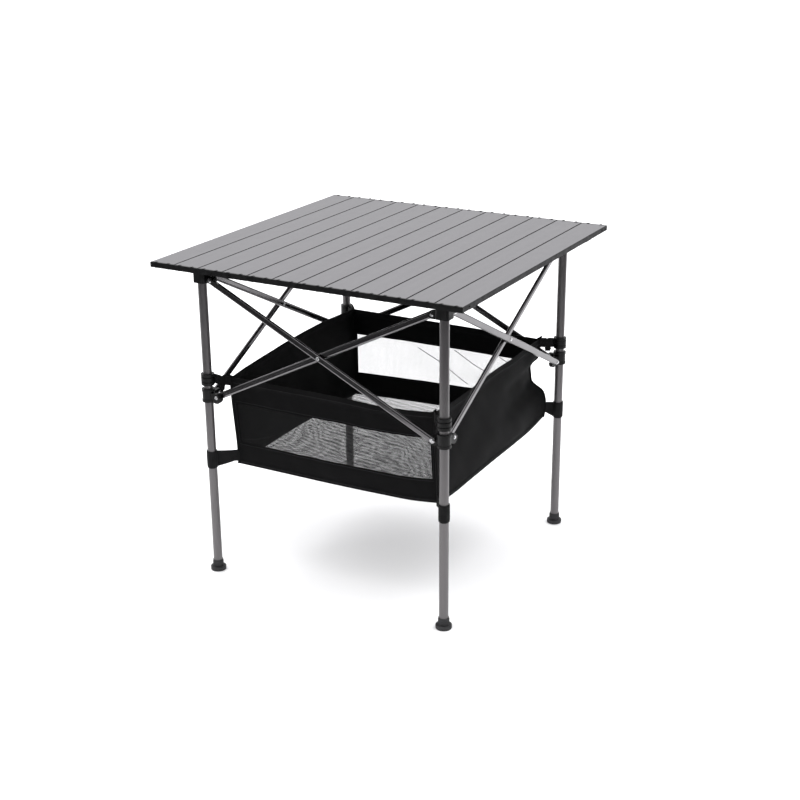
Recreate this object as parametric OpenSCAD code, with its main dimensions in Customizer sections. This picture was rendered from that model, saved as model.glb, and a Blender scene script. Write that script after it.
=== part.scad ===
// Folding camp kitchen table: a roll-up slatted top, four legs, a scissor brace on each
// side and a hanging fabric basket. Origin on the ground under the middle of the table,
// +X across the slats, +Y along the slats, +Z up.

/* [Table top] */
// Height of the slats' top faces above the ground
table_h = 700; // [690:1:720]
// Width of the top, across the slats
top_w = 700; // [696:1:710]
// Depth of the top, along the slats, with the end caps
top_d = 706; // [702:1:720]
// Thickness of a slat
slat_t = 11; // [10:0.5:12]
// Gap between two slats
slat_gap = 1.8; // [1:0.1:2.5]
// Wall of the slat extrusion
slat_wall = 1.2; // [1:0.1:1.6]
// Thickness of an end cap's flange
cap_t = 4; // [3:0.5:5]
// Diameter of the shock cord that strings the slats together
cord_d = 3.4; // [3:0.1:4]

/* [Legs] */
// Distance from the middle of the table to a leg's axis, along X
leg_x = 277; // [276:1:280]
// Distance from the middle of the table to a leg's axis, along Y
leg_y = 282; // [281:1:285]
// Outer diameter of a leg tube
leg_d = 19; // [18:0.5:19.5]
// Wall of a leg tube
leg_wall = 1.2; // [1:0.1:1.6]
// Height of a rubber foot
foot_h = 24; // [20:1:28]
// Diameter of the foot's ground flange
foot_d = 33.4; // [30:0.2:36]

/* [Scissor braces] */
// Half of the distance between a bar's two end pivots, measured level
half_span = 253; // [250:0.5:254]
// Height of the head pivots
head_pivot_z = 656; // [654:1:658]
// Height of the collar pivots when the table stands open
collar_pivot_z = 404; // [402:1:406]
// Width of a bar's flattened-oval section
bar_w = 14; // [13:0.5:15]
// Thickness of a bar's section
bar_t = 8; // [7:0.5:8]
// Diameter of the pivot rivets
rivet_d = 5.2; // [4.8:0.1:5.6]

/* [Basket] */
// Half of the basket's width along X
basket_x = 243; // [240:1:246]
// Half of the basket's depth along Y
basket_y = 254; // [250:1:258]
// Height of the basket's bottom edge
basket_low = 251; // [248:1:256]
// Height of the basket's rim
basket_top = 450; // [446:1:452]
// Thickness of the basket's fabric panels
fabric_t = 2; // [1.6:0.1:2.4]
// Height of the strip of fabric above a mesh window
band_top_h = 56; // [50:1:60]
// Height of the strip of fabric below a mesh window
band_low_h = 53; // [46:1:58]
// Width of the fabric border at each end of a mesh window
side_band = 9; // [6:1:20]

/* [Hidden] */
$fn = 48;
slat_count = 12;
slat_pitch = top_w / slat_count;
slat_w = slat_pitch - slat_gap;
slat_len = top_d - 2 * cap_t;
slat_low = table_h - slat_t;
cap_w = slat_pitch - 0.5;
slat_lip = 7;
slat_round = 1.2;
cap_plug = 14;
cap_bump_r = 6.4;
cap_bump_x = 15;
cap_bump_up = 0.4;
cord_y = slat_len / 2 - cap_plug - 10;

run_fit = 0.05;
body_gap = 0.3;
far = 1000;

tube_low = 6;
head_low = 650;
head_top = slat_low - body_gap;
head_w = 28;
head_plate_w = 35;
head_plate_t = 5.5;
clip_reach = 55;
clip_w = 22;
tube_top = head_top - head_plate_t - 2;
stop_low = 429;
stop_h = 24;
collar_low = collar_pivot_z - 12;
collar_h = 28;
collar_d = 28;
lug_t = 8;
lug_r = 8;
cup_r = 13;

bar_off = bar_t / 2 + 0.6;
bar_wall = 1.2;
bar_drop = head_pivot_z - collar_pivot_z;
bar_len = norm([2 * half_span, bar_drop]);
bar_angle = atan2(bar_drop, 2 * half_span);
rivet_head_d = 8;
rivet_head_t = 1.6;

CUFF_LOW = [242, 237, 264, 244];
cuff_h = 37;
strap_t = 1.5;
strap_w = 16;
tail_w = 25;
strap_low = 433;
mesh_t = 0.6;
mesh_seam = 5;
floor_t = 1.6;

CORNERS = ["front_left", "front_right", "back_right", "back_left"];
SIDES = ["front", "right", "back", "left"];
CORNER_PARTS = ["leg", "foot", "head", "stop_ring", "collar", "straps"];
BASKET_PARTS = ["front_panel", "front_mesh", "back_panel", "back_mesh",
                "left_panel", "right_panel", "floor_front", "floor_back"];
function slat_name(i) = str("slat_", i < 9 ? "0" : "", i + 1);
function corner_name(k, what) = str(CORNERS[k], "_", what);
function bar_name(s, which, what) = str(SIDES[s], "_", which, "_", what);

// ---------- places ----------

// Corner k, counted anticlockwise from front left. Seen from its leg, local +X runs to the
// next leg and local +Y to the one before, and the outside of the table is at -X and -Y.
function x_sign(k) = k == 0 || k == 3 ? -1 : 1;
function y_sign(k) = k < 2 ? -1 : 1;
module at_corner(k) {
    translate([x_sign(k) * leg_x, y_sign(k) * leg_y, 0])
        rotate([0, 0, 90 * k])
            children();
}

// Turns what was drawn along a corner's local +X to its local +Y.
module swapped() {
    mirror([1, -1, 0])
        children();
}

// Distances from a leg's axis, along local +X and local +Y, to the pivots and the basket.
function along(k, x, y) = k % 2 == 0 ? x : y;
function pivot_next(k) = along(k, leg_x, leg_y) - half_span;
function pivot_last(k) = along(k, leg_y, leg_x) - half_span;
function basket_corner(k) = [
    along(k, leg_x - basket_x, leg_y - basket_y),
    along(k, leg_y - basket_y, leg_x - basket_x)
];

// ---------- table top ----------

module slat_outline(width) {
    translate([-width / 2, 0])
        square([width, slat_t - slat_round]);
    translate([slat_round - width / 2, 0])
        square([width - 2 * slat_round, slat_t]);
    for (side = [-1, 1])
        translate([side * (width / 2 - slat_round), slat_t - slat_round])
            circle(slat_round);
}

// The hollow of the extrusion, open below between its two lips.
module slat_channel() {
    inner = slat_w - 2 * slat_wall;
    translate([-inner / 2, slat_wall])
        square([inner, slat_t - 2 * slat_wall]);
    translate([slat_lip - inner / 2, -1])
        square([inner - 2 * slat_lip, slat_t / 2]);
}

// An outline in X and Z, drawn out along +Y.
module along_y(from, length) {
    translate([0, from + length, 0])
        rotate([90, 0, 0])
            linear_extrude(length)
                children();
}

// A round bar of diameter d along +X.
module along_x(from, length, d) {
    translate([from, 0, 0])
        rotate([0, 90, 0])
            cylinder(d = d, h = length);
}

module slat_extrusion() {
    color([0.45, 0.44, 0.46])
        difference() {
            along_y(-slat_len / 2, slat_len)
                difference() {
                    slat_outline(slat_w);
                    slat_channel();
                }
            for (end = [-1, 1])
                translate([0, end * cord_y, slat_t / 2])
                    along_x(-slat_w, 2 * slat_w, cord_d + 0.8);
        }
}

// An end cap's flange with its two round bumps, and the plug that it is pushed in by.
module slat_end_cap() {
    clear = slat_wall + 0.2;
    color([0.07, 0.07, 0.08]) {
        along_y(slat_len / 2, cap_t) {
            slat_outline(cap_w);
            for (side = [-1, 1])
                translate([side * cap_bump_x, slat_t / 2 + cap_bump_up])
                    circle(cap_bump_r);
        }
        translate([clear - slat_w / 2, slat_len / 2 - cap_plug, clear])
            cube([slat_w - 2 * clear, cap_plug + cap_t / 2, slat_t - 2 * clear]);
    }
}

module shock_cord_stretch() {
    color([0.1, 0.1, 0.1])
        translate([0, cord_y, slat_t / 2])
            along_x(-slat_pitch / 2, slat_pitch, cord_d);
}

module slat(i) {
    translate([(i - (slat_count - 1) / 2) * slat_pitch, 0, slat_low]) {
        slat_extrusion();
        for (end = [0, 1])
            mirror([0, end, 0]) {
                slat_end_cap();
                shock_cord_stretch();
            }
    }
}

// ---------- legs ----------

module leg(k) {
    color([0.36, 0.35, 0.36])
        at_corner(k)
            translate([0, 0, tube_low])
                difference() {
                    cylinder(d = leg_d, h = tube_top - tube_low);
                    translate([0, 0, -1])
                        cylinder(d = leg_d - 2 * leg_wall, h = far);
                }
}

module foot_outline() {
    sleeve_r = 11.6;
    rib_depth = 0.8;
    rib_pitch = 4;
    flange_h = 8.5;
    flange_r = foot_d / 2;
    edge_r = 1.5;
    square([flange_r - edge_r, flange_h]);
    translate([0, edge_r])
        square([flange_r, flange_h - 2 * edge_r]);
    for (z = [edge_r, flange_h - edge_r])
        translate([flange_r - edge_r, z])
            circle(edge_r);
    square([sleeve_r - rib_depth, foot_h]);
    for (z = [flange_h + 2 : rib_pitch : foot_h - 3])
        translate([0, z])
            square([sleeve_r, rib_pitch - rib_depth * 2]);
}

module foot(k) {
    color([0.12, 0.12, 0.13])
        at_corner(k)
            difference() {
                rotate_extrude()
                    foot_outline();
                translate([0, 0, tube_low])
                    cylinder(r = leg_d / 2 + run_fit, h = foot_h);
            }
}

// An eye plate on a leg's fitting, along local +X, that a bar's end is riveted to. It lies
// against the inner face of an outer bar, or the outer face of an inner bar.
module lug_plate(reach, z) {
    start = leg_d / 2 + 2;
    translate([start, -body_gap, z - lug_r])
        cube([reach - start, lug_t, 2 * lug_r]);
    translate([reach, lug_t - body_gap, z])
        rotate([90, 0, 0])
            cylinder(r = lug_r, h = lug_t);
}

// The half-round cup that a collar's eye plate has below its pivot.
module lug_cup(reach, z) {
    intersection() {
        translate([reach, lug_t - body_gap, z])
            rotate([90, 0, 0])
                cylinder(r = cup_r, h = lug_t);
        translate([reach - cup_r, -body_gap, z - cup_r])
            cube([2 * cup_r, lug_t, cup_r]);
    }
}

module lug_hole(reach, z) {
    translate([reach, 2 * lug_t, z])
        rotate([90, 0, 0])
            cylinder(d = rivet_d + 2 * run_fit, h = 4 * lug_t);
}

// One of a fitting's lugs, or its hole. A collar's lug has a cup.
module lug(reach, z, is_collar, is_hole) {
    if (is_hole) lug_hole(reach, z);
    else lug_plate(reach, z);
    if (is_collar && !is_hole) lug_cup(reach, z);
}

// Both lugs of a fitting at height z, or their holes. On the side towards the next leg the
// bar is an outer one at a head and an inner one at a collar, and the reverse on the other.
module both_lugs(k, z, is_collar, is_hole) {
    mirror([0, is_collar ? 1 : 0, 0])
        lug(pivot_next(k), z, is_collar, is_hole);
    swapped()
        mirror([0, is_collar ? 0 : 1, 0])
            lug(pivot_last(k), z, is_collar, is_hole);
}

// The arm that reaches outwards under the end slat, with the two lobes of its clip.
module slat_clip() {
    lobe_r = 5.5;
    small_r = 3.2;
    translate([-clip_reach, -clip_w / 2, head_top - head_plate_t])
        cube([clip_reach, clip_w, head_plate_t]);
    translate([-clip_reach, clip_w / 2, head_top - lobe_r])
        rotate([90, 0, 0])
            cylinder(r = lobe_r, h = clip_w);
    translate([-clip_reach + 10, clip_w / 2, head_top - head_plate_t - 1])
        rotate([90, 0, 0])
            cylinder(r = small_r, h = clip_w);
}

module head(k) {
    color([0.08, 0.08, 0.08])
        at_corner(k)
            difference() {
                union() {
                    intersection() {
                        translate([-head_w / 2, -head_w / 2, head_low])
                            cube([head_w, head_w, head_top - head_low]);
                        cylinder(r = head_w * 0.62, h = far);
                    }
                    translate([-head_plate_w / 2, -head_plate_w / 2, head_top - head_plate_t])
                        cube([head_plate_w, head_plate_w, head_plate_t]);
                    both_lugs(k, head_pivot_z, false, false);
                    if (k % 2 == 0) slat_clip();
                    else swapped() slat_clip();
                }
                both_lugs(k, head_pivot_z, false, true);
                translate([0, 0, head_low - 20])
                    cylinder(r = leg_d / 2 + run_fit, h = tube_top - head_low + 20);
            }
}

module stop_ring(k) {
    outer_r = 14;
    groove_r = 12.4;
    color([0.09, 0.09, 0.09])
        at_corner(k)
            translate([0, 0, stop_low])
                difference() {
                    union() {
                        cylinder(r = groove_r, h = stop_h);
                        for (part = [[0, 6], [8, 8], [18, 6]])
                            translate([0, 0, part[0]])
                                cylinder(r = outer_r, h = part[1]);
                    }
                    translate([0, 0, -1])
                        cylinder(r = leg_d / 2 + run_fit, h = stop_h + 2);
                }
}

module collar(k) {
    lip_h = 5;
    color([0.08, 0.08, 0.08])
        at_corner(k)
            difference() {
                union() {
                    translate([0, 0, collar_low])
                        cylinder(d = collar_d - 2, h = collar_h);
                    for (z = [collar_low, collar_low + collar_h - lip_h])
                        translate([0, 0, z])
                            cylinder(d = collar_d, h = lip_h);
                    both_lugs(k, collar_pivot_z, true, false);
                }
                both_lugs(k, collar_pivot_z, true, true);
                translate([0, 0, collar_low - 20])
                    cylinder(r = leg_d / 2 + run_fit, h = collar_h + 40);
            }
}

// ---------- scissor braces ----------

// Side s runs along local +X from corner s. Its outer bar goes down from that corner's
// head, and its inner bar goes down from the next corner's head.
module on_bar(s, outer) {
    at_corner(s)
        translate([pivot_next(s), 0, outer ? head_pivot_z : collar_pivot_z])
            rotate([0, outer ? bar_angle : -bar_angle, 0])
                mirror([0, outer ? 0 : 1, 0])
                    children();
}

module bar_section(grow) {
    round_r = bar_t / 2 + grow;
    flat = bar_w - bar_t;
    square([2 * round_r, flat], center = true);
    for (side = [-1, 1])
        translate([0, side * flat / 2])
            circle(round_r);
}

module bar_stick(from, length, grow) {
    translate([from, 0, 0])
        rotate([90, 0, 90])
            linear_extrude(length)
                bar_section(grow);
}

// The rounded end of a bar: half of its section, turned about the pivot's axis.
module bar_eye() {
    rotate([90, 0, 0])
        rotate_extrude()
            intersection() {
                rotate(90)
                    bar_section(0);
                translate([0, -bar_w])
                    square(2 * bar_w);
            }
}

// An across hole or a rivet's shank, from y = low to y = high.
module across(x, low, high, d) {
    translate([x, high, 0])
        rotate([90, 0, 0])
            cylinder(d = d, h = high - low);
}

module bar(s, outer) {
    color([0.3, 0.29, 0.3])
        on_bar(s, outer)
            difference() {
                translate([0, -bar_off, 0])
                    difference() {
                        union() {
                            bar_stick(0, bar_len, 0);
                            for (x = [0, bar_len])
                                translate([x, 0, 0])
                                    bar_eye();
                        }
                        bar_stick(bar_w, bar_len - 2 * bar_w, -bar_wall);
                    }
                for (x = [0, bar_len])
                    across(x, -far, far, rivet_d);
                across(bar_len / 2, -far, far, rivet_d + (outer ? 0 : 2 * run_fit));
            }
}

// A rivet through its bar's outer face at low and through to high, with a head on each end.
module rivet(x, low, high) {
    across(x, low, high, rivet_d);
    translate([x, low, 0])
        rotate([90, 0, 0])
            cylinder(d1 = rivet_head_d, d2 = rivet_head_d * 0.6, h = rivet_head_t);
    translate([x, high, 0])
        rotate([-90, 0, 0])
            cylinder(d1 = rivet_head_d, d2 = rivet_head_d * 0.6, h = rivet_head_t);
}

module rivets(s, outer) {
    bar_face = -bar_off - bar_t / 2;
    play = 0.2;
    color([0.8, 0.8, 0.82])
        on_bar(s, outer) {
            for (x = [0, bar_len])
                rivet(x, bar_face, lug_t - body_gap + play);
            if (outer) {
                rivet(bar_len / 2, bar_face, play - bar_face);
                across(bar_len / 2, bar_t / 2 - bar_off, body_gap, rivet_head_d);
            }
        }
}

// ---------- basket ----------

// A cuff round the leg with its tail to the basket's bottom corner, and a strap from the
// stop ring to the rim.
module straps(k) {
    to = basket_corner(k);
    cuff_low = CUFF_LOW[k];
    reach = norm(to) - 0.6;
    tube_r = leg_d / 2;
    color([0.06, 0.06, 0.06])
        at_corner(k)
            rotate([0, 0, atan2(to[1], to[0])]) {
                difference() {
                    union() {
                        translate([0, 0, cuff_low])
                            cylinder(r = tube_r + strap_t, h = cuff_h);
                        translate([0, -strap_t / 2, cuff_low + cuff_h - tail_w])
                            cube([reach, strap_t, tail_w]);
                    }
                    translate([0, 0, cuff_low - 1])
                        cylinder(r = tube_r, h = cuff_h + 2);
                }
                translate([14, -strap_t / 2, strap_low])
                    cube([reach - 14, strap_t, strap_w]);
            }
}

module end_panel(side) {
    color([0.05, 0.05, 0.055])
        difference() {
            translate([-basket_x, side > 0 ? basket_y - fabric_t : -basket_y, basket_low])
                cube([2 * basket_x, fabric_t, basket_top - basket_low]);
            translate([side_band - basket_x, -far, basket_low + band_low_h])
                cube([
                    2 * (basket_x - side_band),
                    2 * far,
                    basket_top - basket_low - band_low_h - band_top_h
                ]);
        }
}

// The mesh is sewn to the inside of its panel, a seam's width beyond the window.
module end_mesh(side) {
    half = basket_x - side_band + mesh_seam;
    low = basket_low + band_low_h - mesh_seam;
    face = basket_y - fabric_t - 0.1;
    color([0.2, 0.2, 0.21])
        translate([-half, side > 0 ? face - mesh_t : -face, low])
            cube([2 * half, mesh_t, basket_top - band_top_h + mesh_seam - low]);
}

module side_panel(side) {
    half = basket_y - fabric_t - 0.1;
    color([0.05, 0.05, 0.055])
        translate([side > 0 ? basket_x - fabric_t : -basket_x, -half, basket_low])
            cube([fabric_t, 2 * half, basket_top - basket_low]);
}

module half_floor(side) {
    slit = 0.2;
    deep = basket_y - 1 - slit;
    color([0.16, 0.16, 0.17])
        translate([1 - basket_x, side > 0 ? slit : -slit - deep, basket_low - 0.2 - floor_t])
            cube([2 * (basket_x - 1), deep, floor_t]);
}

// ---------- the whole table ----------

for (i = [0 : slat_count - 1])
    slat(i);
for (k = [0 : 3]) {
    leg(k);
    foot(k);
    head(k);
    stop_ring(k);
    collar(k);
    straps(k);
}
for (s = [0 : 3], outer = [true, false]) {
    which = outer ? "outer" : "inner";
    bar(s, outer);
    rivets(s, outer);
}
end_panel(-1);  // basket_front_panel
end_mesh(-1);  // basket_front_mesh
end_panel(1);  // basket_back_panel
end_mesh(1);  // basket_back_mesh
side_panel(-1);  // basket_left_panel
side_panel(1);  // basket_right_panel
half_floor(-1);  // basket_floor_front
half_floor(1);  // basket_floor_back
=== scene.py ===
"""Looks of the folding camp kitchen table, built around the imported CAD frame.

Shapes are worked out in millimetres in the row frame, and turned to metres when a mesh is made.
"""

import math

import bmesh
import bpy
import numpy as np
from mathutils import Matrix, Vector


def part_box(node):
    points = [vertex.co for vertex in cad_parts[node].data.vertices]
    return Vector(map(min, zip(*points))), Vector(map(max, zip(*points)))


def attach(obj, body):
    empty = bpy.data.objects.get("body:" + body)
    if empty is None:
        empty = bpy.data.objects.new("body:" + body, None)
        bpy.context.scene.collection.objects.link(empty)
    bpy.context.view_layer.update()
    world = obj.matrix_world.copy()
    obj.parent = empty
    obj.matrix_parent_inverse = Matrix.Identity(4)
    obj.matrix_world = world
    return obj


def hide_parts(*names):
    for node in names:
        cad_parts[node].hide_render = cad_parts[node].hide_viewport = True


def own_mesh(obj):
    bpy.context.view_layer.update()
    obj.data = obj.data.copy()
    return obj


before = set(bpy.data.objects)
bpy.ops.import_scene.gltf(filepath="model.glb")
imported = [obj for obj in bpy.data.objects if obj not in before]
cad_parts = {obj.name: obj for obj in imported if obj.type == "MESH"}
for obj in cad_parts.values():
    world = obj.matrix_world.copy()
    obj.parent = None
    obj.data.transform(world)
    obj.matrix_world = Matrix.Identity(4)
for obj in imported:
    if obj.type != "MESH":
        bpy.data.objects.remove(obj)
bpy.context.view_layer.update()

CORNERS = ("front_left", "front_right", "back_right", "back_left")
SIDES = ("front", "right", "back", "left")
UP = np.array([0.0, 0.0, 1.0])


# ---------- materials ----------


class Look:
    """One procedural material, built around a Principled shader."""

    def __init__(self, name, **constants):
        self.material = bpy.data.materials.new(name)
        self.material.use_nodes = True
        self.tree = self.material.node_tree
        self.shader = self.tree.nodes["Principled BSDF"]
        for socket, value in constants.items():
            self.shader.inputs[socket.replace("_", " ")].default_value = value
        self.place = self.node("ShaderNodeTexCoord").outputs["Object"]

    def node(self, kind, links=(), **settings):
        made = self.tree.nodes.new(kind)
        for key, value in settings.items():
            setattr(made, key, value)
        for socket, source in dict(links).items():
            if isinstance(source, bpy.types.NodeSocket):
                self.tree.links.new(source, made.inputs[socket])
            else:
                made.inputs[socket].default_value = source
        return made

    def stretched(self, scale):
        links = {"Vector": self.place, "Scale": scale}
        return self.node("ShaderNodeMapping", links).outputs["Vector"]

    def noise(self, scale, detail=3.0, stretch=(1, 1, 1)):
        links = {"Vector": self.stretched(stretch), "Scale": scale, "Detail": detail}
        return self.node("ShaderNodeTexNoise", links).outputs["Fac"]

    def math(self, operation, a, b=0.0):
        return self.node("ShaderNodeMath", {0: a, 1: b}, operation=operation).outputs[0]

    def span(self, value, low, high, from_low=0.3, from_high=0.7):
        """value from from_low to from_high, mapped to low to high."""
        links = {"Value": value, "From Min": from_low, "From Max": from_high}
        links.update({"To Min": low, "To Max": high})
        return self.node("ShaderNodeMapRange", links).outputs["Result"]

    def colours(self, value, low, high):
        ramp = self.node("ShaderNodeValToRGB", {"Fac": value})
        ramp.color_ramp.elements[0].position = 0.3
        ramp.color_ramp.elements[0].color = (*low, 1)
        ramp.color_ramp.elements[1].position = 0.7
        ramp.color_ramp.elements[1].color = (*high, 1)
        return ramp.outputs["Color"]

    def bump(self, height, distance, strength=1.0, under=None):
        links = {"Height": height, "Distance": distance, "Strength": strength}
        if under is not None:
            links["Normal"] = under
        return self.node("ShaderNodeBump", links).outputs["Normal"]

    def set(self, socket, source):
        self.tree.links.new(source, self.shader.inputs[socket])


def coated_metal(name, low, high, metallic, rough, along, patch=9.0, spread=0.06):
    """Satin coating over drawn metal: fine grain, faint lines along the stock, and patchy gloss."""
    look = Look(name, Metallic=metallic, Coat_Weight=0.12, Coat_Roughness=0.25)
    lines = look.noise(1.0, 4.0, along)
    patches = look.noise(patch, 4.0)
    fine = look.noise(900.0, 2.0)
    mixed = look.math("ADD", look.math("MULTIPLY", lines, 0.5), look.math("MULTIPLY", patches, 0.5))
    look.set("Base Color", look.colours(mixed, low, high))
    look.set("Roughness", look.span(patches, rough - spread, rough + spread))
    lined = look.bump(lines, 0.00008, 0.35)
    look.set("Normal", look.bump(fine, 0.00006, 0.5, lined))
    return look.material


def plastic(name, low, high, rough):
    """Moulded black plastic: a fine spark-eroded skin with scuffs that are a little paler."""
    look = Look(name, Specular_IOR_Level=0.25)
    skin = look.noise(1400.0, 2.0)
    scuffs = look.noise(60.0, 6.0)
    look.set("Base Color", look.colours(scuffs, low, high))
    look.set("Roughness", look.span(scuffs, rough - 0.07, rough + 0.1))
    look.set("Normal", look.bump(skin, 0.00012, 0.6))
    return look.material


def bright_metal(name, low, high, rough):
    look = Look(name, Metallic=1.0)
    spots = look.noise(350.0, 5.0)
    look.set("Base Color", look.colours(spots, low, high))
    look.set("Roughness", look.span(spots, rough - 0.06, rough + 0.1))
    look.set("Normal", look.bump(spots, 0.0001, 0.35))
    return look.material


def woven(name, low, high, pitch, depth, sheen):
    """Plain-woven cloth: threads that cross over and under, with uneven tone and soft sheen."""
    look = Look(name, Roughness=0.8, Sheen_Weight=sheen, Sheen_Roughness=0.45,
                Specular_IOR_Level=0.1)
    axes = look.node("ShaderNodeSeparateXYZ", {"Vector": look.place})
    level = look.math("ADD", axes.outputs["X"], axes.outputs["Y"])
    turns = 2 * math.pi / pitch
    warp = look.math("SINE", look.math("MULTIPLY", level, turns))
    weft = look.math("SINE", look.math("MULTIPLY", axes.outputs["Z"], turns))
    weave = look.math("MULTIPLY", warp, weft)
    tone = look.noise(7.0, 5.0)
    slub = look.noise(30.0, 4.0, (1, 1, 14))
    mixed = look.math("ADD", look.math("MULTIPLY", tone, 0.6), look.math("MULTIPLY", slub, 0.4))
    look.set("Base Color", look.colours(mixed, low, high))
    thread = look.bump(look.span(weave, 0, 1, -1, 1), depth, 0.8)
    look.set("Normal", look.bump(slub, 0.0004, 0.25, thread))
    return look.material


def ribbed(name, low, high, pitch):
    """Elastic webbing with its ribs running round it, level by level."""
    look = Look(name, Roughness=0.75, Sheen_Weight=0.03, Sheen_Roughness=0.5,
                Specular_IOR_Level=0.15)
    axes = look.node("ShaderNodeSeparateXYZ", {"Vector": look.place})
    turns = 2 * math.pi / pitch
    ribs = look.math("SINE", look.math("MULTIPLY", axes.outputs["Z"], turns))
    tone = look.noise(45.0, 5.0)
    look.set("Base Color", look.colours(tone, low, high))
    look.set("Normal", look.bump(look.span(ribs, 0, 1, -1, 1), 0.0004, 0.7))
    return look.material


SLAT = coated_metal("slat_coat", (0.104, 0.1, 0.109), (0.122, 0.118, 0.128), 0.35, 0.37,
                    (60, 1.2, 60), 45.0, 0.02)
# Painted shade: the slats' sides, rounded edges and underside have the same coating as the top, and this
# darker material stands in for the shade on them.
SLAT_SIDE_SHADE = plastic("slat_side_painted_shade", (0.016, 0.0155, 0.017), (0.024, 0.0235, 0.0255), 0.55)
LEG = coated_metal("leg_coat", (0.13, 0.123, 0.126), (0.16, 0.152, 0.155), 0.5, 0.36, (90, 90, 2))
BAR = coated_metal("bar_coat", (0.13, 0.126, 0.13), (0.165, 0.16, 0.165), 1.0, 0.15, (40, 40, 25))
BAR_END = bright_metal("bare_bar_end", (0.35, 0.35, 0.36), (0.55, 0.55, 0.55), 0.28)
RIVET = bright_metal("rivet_zinc", (0.5, 0.5, 0.51), (0.7, 0.7, 0.71), 0.26)
BLACK = plastic("fitting_plastic", (0.006, 0.006, 0.006), (0.012, 0.012, 0.0125), 0.44)
CAP = plastic("cap_plastic", (0.005, 0.005, 0.0055), (0.01, 0.01, 0.0105), 0.42)
RUBBER = plastic("foot_rubber", (0.036, 0.036, 0.037), (0.055, 0.055, 0.058), 0.62)
CORD = ribbed("shock_cord", (0.008, 0.008, 0.008), (0.02, 0.02, 0.02), 0.0012)
CLOTH = woven("basket_cloth", (0.004, 0.004, 0.0044), (0.0062, 0.0062, 0.0067), 0.0011, 0.00022, 0.004)
HEM = woven("hem_cloth", (0.005, 0.005, 0.0054), (0.009, 0.009, 0.0095), 0.0014, 0.0003, 0.015)
THREAD = plastic("stitch_thread", (0.01, 0.01, 0.011), (0.02, 0.02, 0.022), 0.55)
NET = plastic("mesh_thread", (0.006, 0.006, 0.0066), (0.014, 0.014, 0.015), 0.65)
WEBBING = ribbed("webbing", (0.0055, 0.0055, 0.0058), (0.012, 0.012, 0.0125), 0.0018)


# Places in a slat, in millimetres from the ends and the top of its box.
CAP_REACH, CORD_IN, CORD_DOWN, CORD_NEAR = 18.1, 28, 6.8, 1.9
# A slat's face that leans more than this from level belongs to its rounded edges, its sides or its
# underside. Such a face gets painted shade, which also darkens the gaps between the slats.
LEVEL_ENOUGH = 0.97
BARE_BAR_END = 6


def paint_node(name, *materials):
    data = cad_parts[name].data
    data.materials.clear()
    for material in materials:
        data.materials.append(material)
    return data


def polygon_points(data):
    """For each polygon of a CAD node, its vertices in millimetres."""
    points = np.array([v.co for v in data.vertices], float) * 1000
    return [points[list(p.vertices)] for p in data.polygons]


def paint_slat(name):
    """The extrusion's top is painted metal and its other faces get painted shade; its caps are plastic and
    its cord is elastic.
    """
    data = paint_node(name, SLAT, CAP, CORD, SLAT_SIDE_SHADE)
    high = np.array(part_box(name)[1]) * 1000
    cap_from = high[1] - CAP_REACH
    for polygon, points in zip(data.polygons, polygon_points(data)):
        along = points[:, 1] * np.sign(points[0, 1])
        from_cord = np.hypot(along - (high[1] - CORD_IN), points[:, 2] - (high[2] - CORD_DOWN))
        if (along > cap_from).all():
            polygon.material_index = 1
        elif (from_cord < CORD_NEAR).all():
            polygon.material_index = 2
        # Faces that are not level get the painted shade.
        elif polygon.normal.z < LEVEL_ENOUGH:
            polygon.material_index = 3


def paint_bar(name):
    """The coat stops short of the two cut ends, which are bare metal."""
    data = paint_node(name, BAR, BAR_END)
    every = polygon_points(data)
    points = np.concatenate(every)
    middle = (points.min(0) + points.max(0)) / 2
    reach = np.linalg.norm(points - middle, axis=1).max()
    for polygon, corners in zip(data.polygons, every):
        if (np.linalg.norm(corners - middle, axis=1) > reach - BARE_BAR_END).all():
            polygon.material_index = 1


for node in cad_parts:
    if node.startswith("slat_"):
        paint_slat(node)
    elif node.endswith("_leg"):
        paint_node(node, LEG)
    elif node.endswith("_bar"):
        paint_bar(node)
    elif node.endswith("_rivets"):
        paint_node(node, RIVET)
    elif node.endswith("_foot"):
        paint_node(node, RUBBER)
    else:
        paint_node(node, BLACK)


# ---------- meshes ----------


SHARP_EDGE = math.radians(50)


class Shape:
    """Vertices and faces of one piece, gathered in millimetres."""

    def __init__(self):
        self.points, self.faces, self.slots = [], [], []
        self.count = 0

    def add(self, points, faces, slot=0):
        points = np.asarray(points, float).reshape(-1, 3)
        self.points.append(points)
        self.faces.extend([tuple(i + self.count for i in face) for face in faces])
        self.slots.extend([slot] * len(faces))
        self.count += len(points)

    def make(self, name, materials, smooth=True):
        mesh = bpy.data.meshes.new(name)
        mesh.from_pydata((np.concatenate(self.points) / 1000).tolist(), [], self.faces)
        for material in materials:
            mesh.materials.append(material)
        mesh.polygons.foreach_set("material_index", self.slots)
        mesh.polygons.foreach_set("use_smooth", [smooth] * len(self.faces))
        work = bmesh.new()
        work.from_mesh(mesh)
        bmesh.ops.recalc_face_normals(work, faces=work.faces)
        work.to_mesh(mesh)
        work.free()
        made = bpy.data.objects.new(name, mesh)
        bpy.context.scene.collection.objects.link(made)
        if smooth:
            mesh.set_sharp_from_angle(angle=SHARP_EDGE)
        return made


def curve(points, shares):
    """Places at the given shares along a smooth line through the points."""
    points = np.array(points, float)
    step = np.linalg.norm(np.diff(points, axis=0), axis=1)
    at = np.concatenate([[0], np.cumsum(step)]) / step.sum()
    slope = np.gradient(points, at, axis=0)
    shares = np.asarray(shares, float)
    i = np.clip(np.searchsorted(at, shares, side="right") - 1, 0, len(at) - 2)
    h = (at[i + 1] - at[i])[..., None]
    x = (shares[..., None] - at[i][..., None]) / h
    return ((2 * x**3 - 3 * x**2 + 1) * points[i] + (x**3 - 2 * x**2 + x) * h * slope[i]
            + (3 * x**2 - 2 * x**3) * points[i + 1] + (x**3 - x**2) * h * slope[i + 1])


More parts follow.
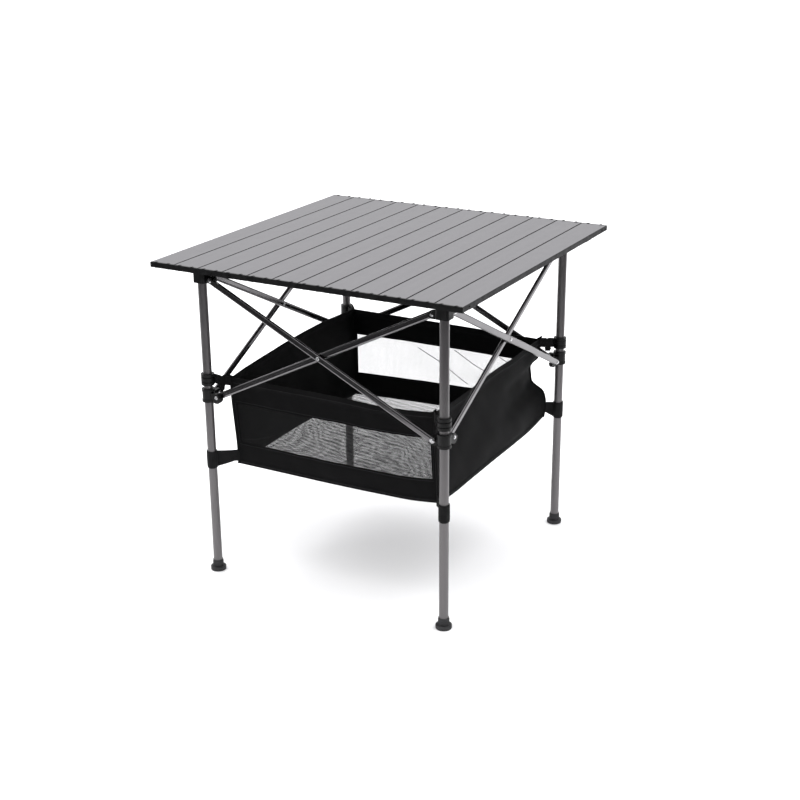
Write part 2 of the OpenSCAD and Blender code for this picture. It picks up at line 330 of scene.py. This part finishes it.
def loft(shape, rings, slot=0, closed=False):
    """A closed skin over rings of equally many points, capped at both ends unless it closes on itself."""
    rings = np.array(rings, float)
    count, size = rings.shape[:2]
    faces = []
    for i in range(count if closed else count - 1):
        a, b = i * size, (i + 1) % count * size
        for j in range(size):
            k = (j + 1) % size
            faces.append((a + j, a + k, b + k, b + j))
    if not closed:
        faces.append(tuple(range(size))[::-1])
        faces.append(tuple((count - 1) * size + j for j in range(size)))
    shape.add(rings, faces, slot)


def tube(shape, path, radius, sides=8, slot=0, closed=False):
    path = np.array(path, float)
    if closed:
        ahead = np.roll(path, -1, axis=0) - np.roll(path, 1, axis=0)
    else:
        ahead = np.gradient(path, axis=0)
    ahead /= np.linalg.norm(ahead, axis=1)[:, None]
    start = UP if abs(ahead[0] @ UP) < 0.8 else np.array([1.0, 0.0, 0.0])
    turn = np.linspace(0, 2 * math.pi, sides, endpoint=False)
    rings = []
    for place, way in zip(path, ahead):
        side = np.cross(way, start)
        side /= np.linalg.norm(side)
        start = np.cross(side, way)
        rings.append([place + radius * (math.cos(t) * side + math.sin(t) * start) for t in turn])
    loft(shape, rings, slot, closed)


def strip(shape, path, across, width, thick, slot=0, closed=False):
    """A flat strap along path. across is the direction of its width at each point."""
    path, across = np.array(path, float), np.array(across, float)
    across = np.broadcast_to(across, path.shape)
    across = across / np.linalg.norm(across, axis=1)[:, None]
    if closed:
        ahead = np.roll(path, -1, axis=0) - np.roll(path, 1, axis=0)
    else:
        ahead = np.gradient(path, axis=0)
    out = np.cross(ahead, across)
    out /= np.linalg.norm(out, axis=1)[:, None]
    w = np.broadcast_to(np.asarray(width, float), len(path))[:, None] / 2
    t = thick / 2
    outline = [(-1, -0.5), (-0.97, -1), (0.97, -1), (1, -0.5), (1, 0.5), (0.97, 1), (-0.97, 1), (-1, 0.5)]
    rings = np.stack([path + a * w * across + b * t * out for a, b in outline], axis=1)
    loft(shape, rings, slot, closed)


# ---------- the basket's surfaces ----------

# Each corner seam from its bottom to the rim, pulled about by the cuffs and straps.
SEAM = {
    "front_left": [(-232, -247, 246), (-231, -248, 280), (-234, -250, 340), (-239, -250, 402),
                   (-240, -250, 440)],
    "front_right": [(245, -249, 255), (244, -250, 300), (241, -250, 360), (239, -250, 410),
                    (240, -251, 447)],
    "back_right": [(250, 260, 265), (252, 262, 288), (252, 260, 312), (246, 258, 330), (232, 257, 339),
                   (221, 256, 347), (217, 255, 369), (216, 254, 385), (233, 257, 406), (238, 256, 450)],
    "back_left": [(-235, 247, 243), (-237, 249, 300), (-238, 250, 360), (-239, 250, 410), (-240, 252, 455)],
}


class Wall:
    """One side of the basket as a surface of u, along the side, and v, from the bottom to the rim."""

    def __init__(self, side, start, end, outward, low, rim, belly, creases):
        self.side, self.start, self.end = side, start, end
        self.out = np.array(outward, float)
        self.low = [SEAM[start][0], *low, SEAM[end][0]]
        self.rim = [SEAM[start][-1], *rim, SEAM[end][-1]]
        self.belly, self.creases = belly, creases
        self.width = abs(np.array(self.low[-1]) - np.array(self.low[0])).max()
        self.height = 197.0

    def at(self, u, v, proud=0.0):
        u, v = np.broadcast_arrays(np.asarray(u, float), np.asarray(v, float))
        u1, v1 = u[..., None], v[..., None]
        place = (1 - v1) * curve(self.low, u) + v1 * curve(self.rim, u)
        for seam, pull in ((SEAM[self.start], (1 - u1)**3), (SEAM[self.end], u1**3)):
            chord = (1 - v1) * np.array(seam[0], float) + v1 * np.array(seam[-1], float)
            place = place + pull * (curve(seam, v) - chord)
        edge = np.clip(16 * u * (1 - u) * v * (1 - v), 0, 1)
        near = (np.clip(np.minimum(u, 1 - u) * 12, 0, 1)
                * np.clip(np.minimum(v * 9, (1 - v) * 9 + 0.25), 0, 1))
        swell = self.belly * edge * (1.25 - 0.5 * v)
        for size, fu, fv, phase in self.creases:
            swell = swell + size * near * np.sin(2 * math.pi * (fu * u + fv * v) + phase)
        return place + (swell + proud)[..., None] * self.out


WALL = {
    "front": Wall("front", "front_left", "front_right", (0, -1, 0),
                  [(-120, -250, 247), (0, -251, 247), (120, -250.5, 248), (195, -250, 250)],
                  [(-150, -252, 441), (38, -254, 442), (110, -254, 440), (190, -252, 442)],
                  3.0, [(0.7, 2.3, 0.6, 0.4), (0.5, 4.1, -1.2, 1.9), (0.35, 7.3, 1.7, 2.6)]),
    "right": Wall("right", "front_right", "back_right", (1, 0, 0),
                  [(245, -198, 249), (247, -100, 251), (248, 0, 253), (248, 100, 253), (248, 205, 256)],
                  [(242, -196, 445), (244, -100, 448), (245, 0, 453), (244, 100, 452), (241, 200, 452)],
                  7.0, [(1.5, 1.6, 0.8, 0.7), (1.1, 2.9, -1.1, 2.2), (0.6, 5.3, 1.6, 0.3),
                        (0.35, 9.1, 2.3, 1.3)]),
    "back": Wall("back", "back_left", "back_right", (0, 1, 0),
                 [(-150, 251, 246), (0, 253, 251), (150, 256, 256)],
                 [(-150, 254, 454), (0, 255, 453), (150, 253, 452)],
                 3.0, [(0.7, 2.1, 0.8, 1.4), (0.5, 3.7, -1.4, 0.6), (0.35, 6.9, 1.3, 2.1)]),
    "left": Wall("left", "front_left", "back_left", (-1, 0, 0),
                 [(-234, -120, 248), (-236, 0, 248), (-236, 120, 246)],
                 [(-243, -180, 445), (-247, -60, 451), (-249, 60, 455), (-247, 160, 456)],
                 6.0, [(1.4, 1.8, 0.7, 2.7), (1.0, 3.1, -1.2, 0.9), (0.5, 5.9, 1.5, 1.8)]),
}
# A window's lower and upper edge as shares of the wall's height, and its border at each side.
WINDOW_LOW, WINDOW_HIGH, WINDOW_SIDE = 0.262, 0.716, 9.0
HEM_WIDE, BINDING_WIDE, STEP_WIDE = 13, 8, 0.7
# Half thicknesses: plain cloth, the folded hem, its upper edge and the binding along the bottom.
HALF_CLOTH, HALF_HEM, HALF_RIM, HALF_BINDING = 0.55, 1.3, 0.8, 1.0


def steps(*stops):
    """Grid lines from stops of (position, number of cells up to the next stop)."""
    lines = [np.linspace(a, b, n + 1)[:-1] for (a, n), (b, _) in zip(stops, stops[1:])]
    return np.concatenate([*lines, [stops[-1][0]]])


def wall_shell(shape, wall, window):
    """The wall's cloth as a thin closed shell, thicker where it is hemmed, with its window left open."""
    side = WINDOW_SIDE / wall.width
    hem, bind = HEM_WIDE / wall.height, BINDING_WIDE / wall.height
    tiny = STEP_WIDE / wall.height
    us = steps((0, 2), (side, 76), (1 - side, 2), (1, 0))
    vs = steps((0, 2), (bind, 1), (bind + tiny, 7), (WINDOW_LOW, 14), (WINDOW_HIGH, 7), (1 - hem - tiny, 1),
               (1 - hem, 3), (1, 0))
    u, v = np.meshgrid(us, vs, indexing="ij")
    thick = np.full(u.shape, HALF_CLOTH)
    thick[v >= 1 - hem] = HALF_HEM
    thick[v <= bind] = HALF_BINDING
    thick[v >= 1 - 1e-9] = HALF_RIM
    outer, inner = wall.at(u, v, thick), wall.at(u, v, -thick)
    nu, nv = len(us), len(vs)
    cu, cv = (us[:-1] + us[1:]) / 2, (vs[:-1] + vs[1:]) / 2
    cloth = np.ones((nu - 1, nv - 1), bool)
    if window:
        cloth = ~np.outer((cu > side) & (cu < 1 - side), (cv > WINDOW_LOW) & (cv < WINDOW_HIGH))
    index = np.arange(nu * nv).reshape(nu, nv)
    back = nu * nv
    faces, slots = [], []
    for i, j in zip(*np.nonzero(cloth)):
        a, b, c, d = index[i, j], index[i + 1, j], index[i + 1, j + 1], index[i, j + 1]
        slot = 1 if cv[j] > 1 - hem or cv[j] < bind else 0
        faces += [(a, b, c, d), (a + back, d + back, c + back, b + back)]
        slots += [slot, slot]
        for (p, q), (m, n) in (((a, b), (i, j - 1)), ((b, c), (i + 1, j)), ((c, d), (i, j + 1)),
                               ((d, a), (i - 1, j))):
            inside = 0 <= m < nu - 1 and 0 <= n < nv - 1 and cloth[m, n]
            if not inside:
                faces.append((q, p, p + back, q + back))
                slots.append(slot)
    points = np.concatenate([outer.reshape(-1, 3), inner.reshape(-1, 3)])
    used, renumbered = np.unique(np.concatenate([np.array(f) for f in faces]), return_inverse=True)
    ends = np.cumsum([len(f) for f in faces])[:-1]
    shape.add(points[used], [tuple(f) for f in np.split(renumbered, ends)])
    shape.slots[-len(slots):] = slots


STITCH_PITCH, STITCH_R = 4.6, 0.38


def stitches(shape, wall, u, v, proud, slot):
    """A row of lockstitches on the wall between the points of u and v, on its outer face."""
    length = np.linalg.norm(np.diff(wall.at(np.array(u), np.array(v)), axis=0), axis=1).sum()
    count = max(3, int(length / STITCH_PITCH))
    for i in range(count):
        share = np.array([i + 0.12, i + 0.5, i + 0.88]) / count
        su, sv = u[0] + (u[1] - u[0]) * share, v[0] + (v[1] - v[0]) * share
        path = wall.at(su, sv, proud + np.array([-0.15, 0.25, -0.15]))
        tube(shape, path, STITCH_R, 5, slot)


NET_WANDER, NET_OVER = 0.05, 0.14


def from_edges(x, a, b):
    """0 at a and at b, and 1 well between them."""
    return np.clip(np.minimum(x - a, b - x) / (b - a) * 12, 0, 1)


def net(shape, surface, us, vs, width, thick, cells, waves=0.0):
    """Open mesh: threads along u at each of vs, and along v at each of us, with a little wander.

    us and vs are evenly spaced. A thread along u has cells[0] points, and one along v has cells[1].
    waves makes the threads along u wider and narrower by turns, in slanting bands.
    """
    (u0, u1), (v0, v1) = (us[0], us[-1]), (vs[0], vs[-1])
    gap_u, gap_v = us[1] - us[0], vs[1] - vs[0]
    along_u, along_v = np.linspace(u0, u1, cells[0]), np.linspace(v0, v1, cells[1])
    for v in vs:
        drift = gap_v * NET_WANDER * from_edges(along_u, u0, u1) * from_edges(v, v0, v1)
        at = v + drift * (np.sin(along_u * 23 + v * 31) * 0.6 + np.sin(along_u * 9 - v * 17))
        sway = 2.0 * np.sin(along_u * 5 + v * 4) + 0.7 * np.sin(along_u * 13 - v * 9)
        band = np.sin(v * 215 + along_u * 36 + sway)
        ribbon(shape, surface, along_u, at, width * (1 + waves * band), thick, NET_OVER)
    for u in us:
        drift = gap_u * NET_WANDER * from_edges(along_v, v0, v1) * from_edges(u, u0, u1)
        at = u + drift * (np.sin(along_v * 19 + u * 27) * 0.6 + np.sin(along_v * 11 - u * 21))
        ribbon(shape, surface, at, along_v, width, thick, -NET_OVER)


def ribbon(shape, surface, u, v, width, thick, proud):
    """One flat thread that lies in the surface, with closed ends."""
    u, v = np.broadcast_arrays(np.asarray(u, float), np.asarray(v, float))
    path = surface(u, v, proud)
    normal = surface(u, v, proud + 1.0) - path
    ahead = np.gradient(path, axis=0)
    across = np.cross(ahead, normal)
    across *= (np.broadcast_to(width, len(path)) / 2 / np.linalg.norm(across, axis=1))[:, None]
    lift = normal * (thick / 2)
    rings = np.stack([path - across - lift, path + across - lift, path + across + lift,
                      path - across + lift], axis=1)
    loft(shape, rings)


def folds(piece, body):
    """The piece rides on body, and gets a mesh of its own."""
    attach(piece, body)
    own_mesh(piece)
    return piece


WALL_BODY = {"front": "front_left_leg", "left": "front_left_leg", "right": "front_right_leg",
             "back": "back_left_leg"}


HEM_SEAM, BINDING_SEAM, END_SEAM, WINDOW_SEAM = 10.5, 5.5, 5, 4


def wall_piece(side):
    wall = WALL[side]
    window = side in ("front", "back")
    shape = Shape()
    wall_shell(shape, wall, window)
    hem_row, low_row = 1 - HEM_SEAM / wall.height, BINDING_SEAM / wall.height
    ends = (END_SEAM / wall.width, 1 - END_SEAM / wall.width)
    stitches(shape, wall, ends, (hem_row, hem_row), HALF_HEM, 2)
    stitches(shape, wall, ends, (low_row, low_row), HALF_BINDING, 2)
    if window:
        for v in (WINDOW_LOW - WINDOW_SEAM / wall.height, WINDOW_HIGH + WINDOW_SEAM / wall.height):
            stitches(shape, wall, ends, (v, v), HALF_CLOTH, 2)
        for u in ends:
            stitches(shape, wall, (u, u), (WINDOW_LOW, WINDOW_HIGH), HALF_CLOTH, 2)
    piece = shape.make(f"basket_{side}_wall", [CLOTH, HEM, THREAD])
    folds(piece, WALL_BODY[side])
    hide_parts(f"basket_{side}_panel")


for name in SIDES:
    wall_piece(name)


WINDOW_PITCH, WINDOW_THREAD, WINDOW_BEHIND = 2.3, (0.46, 0.5), 0.85
SIDE_TUCK, EDGE_TUCK = 4, 4.5


def window_piece(side, creases):
    """A window's net, tucked in behind the cloth's edges. creases are lines of (u, v) points."""
    wall = WALL[side]
    shape = Shape()

    def surface(u, v, proud):
        return wall.at(u, v, proud - WINDOW_BEHIND)

    border = (WINDOW_SIDE - SIDE_TUCK) / wall.width
    low, high = WINDOW_LOW - EDGE_TUCK / wall.height, WINDOW_HIGH + EDGE_TUCK / wall.height
    us = np.linspace(border, 1 - border, int((1 - 2 * border) * wall.width / WINDOW_PITCH))
    vs = np.linspace(low, high, int((high - low) * wall.height / WINDOW_PITCH))
    net(shape, surface, us, vs, *WINDOW_THREAD, (50, 11))
    for points in creases:
        places = curve([(*p, 0.0) for p in points], np.linspace(0, 1, 24))
        ribbon(shape, surface, places[:, 0], places[:, 1], 1.5, 0.5, -0.5)
    piece = shape.make(f"basket_{side}_window", [NET], smooth=False)
    folds(piece, WALL_BODY[side])
    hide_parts(f"basket_{side}_mesh")


window_piece("front", [[(0.03, 0.3), (0.1, 0.33), (0.2, 0.42)]])
window_piece("back", [[(0.36, 0.66), (0.5, 0.5), (0.62, 0.3)], [(0.56, 0.7), (0.72, 0.52), (0.9, 0.4)],
                      [(0.82, 0.7), (0.93, 0.6)]])


FLOOR_SAG, FLOOR_RIPPLE, FLOOR_RAISED = 9, 0.8, 1.5
FLOOR_FLAT, FLOOR_THREAD, FLOOR_WAVES = (0.478, 0.248), (0.98, 0.22), 0.42


def floor_at(u, v):
    """The basket's floor: u from left to right and v from front to back, hanging a little in the middle."""
    front, back = WALL["front"].at(u, np.zeros_like(u)), WALL["back"].at(u, np.zeros_like(u))
    left, right = WALL["left"].at(v, np.zeros_like(v)), WALL["right"].at(v, np.zeros_like(v))
    u1, v1 = u[..., None], v[..., None]
    c = {k: np.array(SEAM[k][0], float) for k in CORNERS}
    flat = ((1 - u1) * ((1 - v1) * c["front_left"] + v1 * c["back_left"])
            + u1 * ((1 - v1) * c["front_right"] + v1 * c["back_right"]))
    place = (1 - v1) * front + v1 * back + (1 - u1) * left + u1 * right - flat
    inside = u * (1 - u) * v * (1 - v)
    sag = FLOOR_SAG * np.clip(16 * inside, 0, 1) ** 0.6
    ripple = FLOOR_RIPPLE * np.sin(41 * u + 9 * v) * np.sin(13 * v + 2) * np.clip(20 * inside, 0, 1)
    place[..., 2] += FLOOR_RAISED - sag + ripple
    return place


def floor_piece(half, v0, v1, body):
    """One half of the floor's net, from v0 to v1."""
    shape = Shape()

    def surface(u, v, proud):
        place = floor_at(*np.broadcast_arrays(np.asarray(u, float), np.asarray(v, float)))
        return place + np.asarray(proud)[..., None] * UP

    us = np.linspace(0.004, 0.996, 185)
    vs = np.linspace(v0, v1, 97)
    net(shape, surface, us, vs, *FLOOR_THREAD, (90, 24), FLOOR_WAVES)
    piece = shape.make(f"basket_floor_net_{half}", [NET], smooth=False)
    folds(piece, body)
    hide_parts(f"basket_floor_{half}")


floor_piece("front", 0.006, 0.4995, "basket_floor_front")
floor_piece("back", 0.5005, 0.994, "basket_floor_back")


def leg_place(corner):
    low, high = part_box(f"{corner}_leg")
    return np.array((low + high) / 2)[:2] * 1000


def corner_piping(corner):
    """The bound vertical seam, and the doubled tab that stands up at the rim."""
    shape = Shape()
    path = curve(SEAM[corner], np.linspace(0, 1, 30))
    outward = leg_place(corner) - path[:, :2].mean(0)
    outward = np.array([*outward / np.linalg.norm(outward), 0.0])
    strip(shape, path + 1.2 * outward, outward, 5.0, 2.4)
    top = path[-1] + UP * 1.0
    tab = [top - outward * 5.0 - UP * 3, top + outward * 1.0 - UP, top + outward * 6.0 + UP * 1.5]
    strip(shape, curve(tab, np.linspace(0, 1, 8)), UP, np.linspace(8, 12, 8), 2.6)
    piece = shape.make(f"basket_seam_{corner}", [HEM])
    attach(piece, f"{corner}_leg")


for name in CORNERS:
    corner_piping(name)


# ---------- cuffs and straps ----------

# The heights of each cuff's lower and upper edge.
CUFF = {"front_left": (242, 280), "front_right": (236, 273), "back_right": (264, 301),
        "back_left": (243, 280)}
LEG_R = 9.5
STOP_RING_Z, STOP_RING_R = 441.0, 13.2
RING_HALF_WIDE, RING_HALF_TALL, RING_WIRE_R = 4, 7, 2.1
TAIL_TALL, TAIL_THICK = 25, 3.0
LOOP_TALL, LOOP_THICK, LOOP_APART = 20.0, 1.8, 2.3


def cuff(shape, leg, low, high):
    """A wide elastic band round the leg, a little uneven."""
    turn = np.linspace(0, 2 * math.pi, 73)[:-1]
    middle, tall = (low + high) / 2, high - low
    radius = LEG_R + 1.1 + 0.25 * np.sin(3 * turn + 1) + 0.2 * np.sin(7 * turn)
    bell = [(-0.5, 0.3), (-0.4, 0.7), (0, 0.8), (0.4, 0.7),
            (0.5, 0.3), (0.5, -0.5), (0, -0.4), (-0.5, -0.5)]
    rings = []
    for t, r in zip(turn, radius):
        wobble = 0.7 * math.sin(2 * t + 0.5)
        rings.append([(leg[0] + (r + b) * math.cos(t), leg[1] + (r + b) * math.sin(t),
                       middle + a * tall + wobble) for a, b in bell])
    loft(shape, rings, closed=True)


def cuff_tail(shape, leg, low, high, seam):
    """The strap from the cuff to the basket's corner, with a row of stitches along each edge."""
    tall = high - low
    target = seam[np.abs(seam[:, 2] - (high - 16)).argmin()]
    start = np.array([*leg, (high + low) / 2])
    ahead = target - start
    ahead[2] = 0
    length = np.linalg.norm(ahead)
    ahead /= length
    side = np.cross(ahead, UP)
    share = np.linspace(0, 1, 14)
    height = tall - 2 + (TAIL_TALL - tall + 2) * np.clip(share * 1.3, 0, 1)
    upper = high - 1.5 + (target[2] + TAIL_TALL / 2 - high + 4) * share**1.4
    path = (start[:2] + (LEG_R + 0.6 + share[:, None] * (length - LEG_R + 0.5)) * ahead[:2])
    centre = np.column_stack([path, upper - height / 2])
    centre += np.sin(share * math.pi)[:, None] * side * 1.6
    strip(shape, centre, UP, height, TAIL_THICK)
    for edge in (-0.38, 0.38):
        row = centre + edge * height[:, None] * UP
        for face in (-1, 1):
            for i in np.arange(0.3, 12.2, 1.15):
                spots = [curve(row, np.array([s]) / 13)[0] for s in (i, i + 0.4, i + 0.8)]
                tube(shape, np.array(spots) + face * side * 1.55, 0.35, 5, 1)


def upper_strap(shape, leg, rim):
    """A loop on the stop ring, a wire ring, a loop sewn to the rim, and the straps' two loose ends."""
    hook = np.array([*leg, STOP_RING_Z])
    level = rim - hook
    level[2] = 0
    gap = np.linalg.norm(level)
    level /= gap
    across = np.cross(level, UP)
    eye = hook + level * (gap * 0.62) + UP * (rim[2] - 8 - STOP_RING_Z) * 0.6
    ring = []
    for a in np.linspace(0, 2 * math.pi, 29)[:-1]:
        x, z = (math.copysign(abs(part) ** 0.6, part) for part in (math.cos(a), math.sin(a)))
        ring.append(eye + level * RING_HALF_WIDE * x + UP * RING_HALF_TALL * z)
    tube(shape, ring, RING_WIRE_R, 8, 2, closed=True)
    near, far = eye - level * RING_HALF_WIDE, eye + level * RING_HALF_WIDE
    swing = across * LOOP_APART
    for begin, finish in ((hook + level * STOP_RING_R, near), (rim - UP * 8 - level * 2, far)):
        out = (finish - begin) / np.linalg.norm(finish - begin)
        middle = begin + (finish - begin) * 0.5
        loop = [begin + swing * 0.5, middle + swing, finish + swing, finish + out * LOOP_APART,
                finish - swing, middle - swing, begin - swing * 0.5]
        strip(shape, curve(loop, np.linspace(0, 1, 30)), UP, LOOP_TALL, LOOP_THICK)
    for way, drop in ((1, 21.0), (-1, 15.0)):
        tail = [eye + across * 3.2 * way + UP * 8, eye + across * 4.6 * way - UP * drop * 0.4 - level,
                eye + across * 3.6 * way - UP * drop - level * 3]
        strip(shape, curve(tail, np.linspace(0, 1, 12)), level, 12.0, LOOP_THICK)


def cuff_and_straps(corner):
    shape = Shape()
    leg = leg_place(corner)
    cuff(shape, leg, *CUFF[corner])
    cuff_tail(shape, leg, *CUFF[corner], curve(SEAM[corner], np.linspace(0, 1, 60)))
    upper_strap(shape, leg, np.array(SEAM[corner][-1], float))
    piece = shape.make(f"{corner}_webbing", [WEBBING, THREAD, BLACK])
    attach(piece, f"{corner}_leg")
    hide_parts(f"{corner}_straps")


for name in CORNERS:
    cuff_and_straps(name)


# ---------- studio ----------


# The direction in plan from the table to the camera, in degrees from +X, and the floor's reach:
# short on the camera's side, which keeps the legs' upper halves dark, and long behind.
CAMERA_SIDE, FLOOR_NEAR, FLOOR_FAR = -60.5, 1.3, 9.0


def stage_floor():
    """A pale floor that runs far back and ends near the table on the camera's side."""
    mesh = bpy.data.meshes.new("studio_floor")
    rim = []
    for t in range(0, 360, 3):
        behind = max(0.0, -math.cos(math.radians(t - CAMERA_SIDE)))
        reach = FLOOR_NEAR + FLOOR_FAR * behind
        rim.append((reach * math.cos(math.radians(t)), reach * math.sin(math.radians(t)), 0))
    mesh.from_pydata(rim, [], [range(len(rim))])
    look = Look("studio_floor", Roughness=0.9, Specular_IOR_Level=0.1)
    look.set("Base Color", look.colours(look.noise(0.6, 2.0), (0.84, 0.84, 0.85), (0.86, 0.86, 0.865)))
    mesh.materials.append(look.material)
    made = bpy.data.objects.new("studio_floor", mesh)
    bpy.context.scene.collection.objects.link(made)
    return made


def soft_light(name, place, target, size, power):
    data = bpy.data.lights.new(name, "AREA")
    data.shape = "RECTANGLE"
    data.size, data.size_y = size
    data.energy = power
    made = bpy.data.objects.new(name, data)
    made.location = place
    made.rotation_euler = (Vector(target) - Vector(place)).to_track_quat("-Z", "Y").to_euler()
    bpy.context.scene.collection.objects.link(made)


WASH_POWER, WASH_ANGLE = 2.55, math.radians(140)


def floor_wash(only):
    """Even soft light that falls on the floor alone, so that it reads as plain white."""
    data = bpy.data.lights.new("floor_wash", "SUN")
    data.energy, data.angle = WASH_POWER, WASH_ANGLE
    made = bpy.data.objects.new("floor_wash", data)
    bpy.context.scene.collection.objects.link(made)
    lit = bpy.data.collections.new("floor_wash_lit")
    lit.objects.link(only)
    made.light_linking.receiver_collection = lit


SEEN_WHITE, ROOM_STRENGTH = 1.15, 1.3
BRIGHT_SIDE = (-0.15, 0.3, 1.0)
ROOM_DIM, ROOM_BRIGHT = (0.09, 0.09, 0.092, 1), (1.0, 1.0, 1.01, 1)


def studio_sky():
    """Plain white where the camera sees it. What the table reflects is a room that brightens upwards."""
    world = bpy.data.worlds.new("studio")
    bpy.context.scene.world = world
    world.use_nodes = True
    nodes, links = world.node_tree.nodes, world.node_tree.links
    nodes["Background"].inputs["Color"].default_value = (1.0, 1.0, 1.0, 1)
    nodes["Background"].inputs["Strength"].default_value = SEEN_WHITE
    room = nodes.new("ShaderNodeBackground")
    place = nodes.new("ShaderNodeTexCoord")
    toward = nodes.new("ShaderNodeVectorMath")
    toward.operation = "DOT_PRODUCT"
    toward.inputs[1].default_value = BRIGHT_SIDE
    links.new(place.outputs["Generated"], toward.inputs[0])
    ramp = nodes.new("ShaderNodeValToRGB")
    links.new(toward.outputs["Value"], ramp.inputs["Fac"])
    ramp.color_ramp.elements[0].position = 0.12
    ramp.color_ramp.elements[0].color = ROOM_DIM
    ramp.color_ramp.elements[1].position = 0.75
    ramp.color_ramp.elements[1].color = ROOM_BRIGHT
    links.new(ramp.outputs["Color"], room.inputs["Color"])
    room.inputs["Strength"].default_value = ROOM_STRENGTH
    seen = nodes.new("ShaderNodeLightPath")
    mix = nodes.new("ShaderNodeMixShader")
    links.new(seen.outputs["Is Camera Ray"], mix.inputs["Fac"])
    links.new(room.outputs[0], mix.inputs[1])
    links.new(nodes["Background"].outputs[0], mix.inputs[2])
    links.new(mix.outputs[0], nodes["World Output"].inputs["Surface"])


floor = stage_floor()
studio_sky()
soft_light("softbox_top", (-0.15, 0.1, 3.0), (0, 0, 0.5), (3.0, 3.0), 50)
soft_light("softbox_back", (-2.0, 3.4, 2.3), (0, 0, 0.6), (3.0, 0.9), 6)
soft_light("softbox_right", (3.0, -1.2, 1.9), (0, 0, 0.4), (0.5, 1.8), 3.5)
soft_light("softbox_left", (-2.2, -2.6, 2.2), (0, 0, 0.4), (0.5, 1.6), 9)
floor_wash(floor)


CAMERA_PLACE = (1.43, -2.531, 1.427)
CAMERA_TURN = (-29.05, 20.36, -0.48)
CAMERA_LENS, SENSOR = 63.99, 36.0


def photo_camera():
    """The photograph's viewpoint. Its turns are the yaw from +Y, the pitch downwards and the roll."""
    yaw, pitch, roll = (math.radians(a) for a in CAMERA_TURN)
    ahead = Vector((math.sin(yaw) * math.cos(pitch), math.cos(yaw) * math.cos(pitch), -math.sin(pitch)))
    right = Vector((math.cos(yaw), -math.sin(yaw), 0))
    up = right.cross(ahead)
    turned = math.cos(roll) * right + math.sin(roll) * up
    above = -math.sin(roll) * right + math.cos(roll) * up
    data = bpy.data.cameras.new("camera")
    data.lens, data.sensor_width = CAMERA_LENS, SENSOR
    camera = bpy.data.objects.new("camera", data)
    rows = [(turned[i], above[i], -ahead[i], place) for i, place in enumerate(CAMERA_PLACE)]
    camera.matrix_world = Matrix([*rows, (0, 0, 0, 1)])
    bpy.context.scene.collection.objects.link(camera)
    bpy.context.scene.camera = camera


photo_camera()
bpy.context.scene.view_settings.view_transform = "Standard"
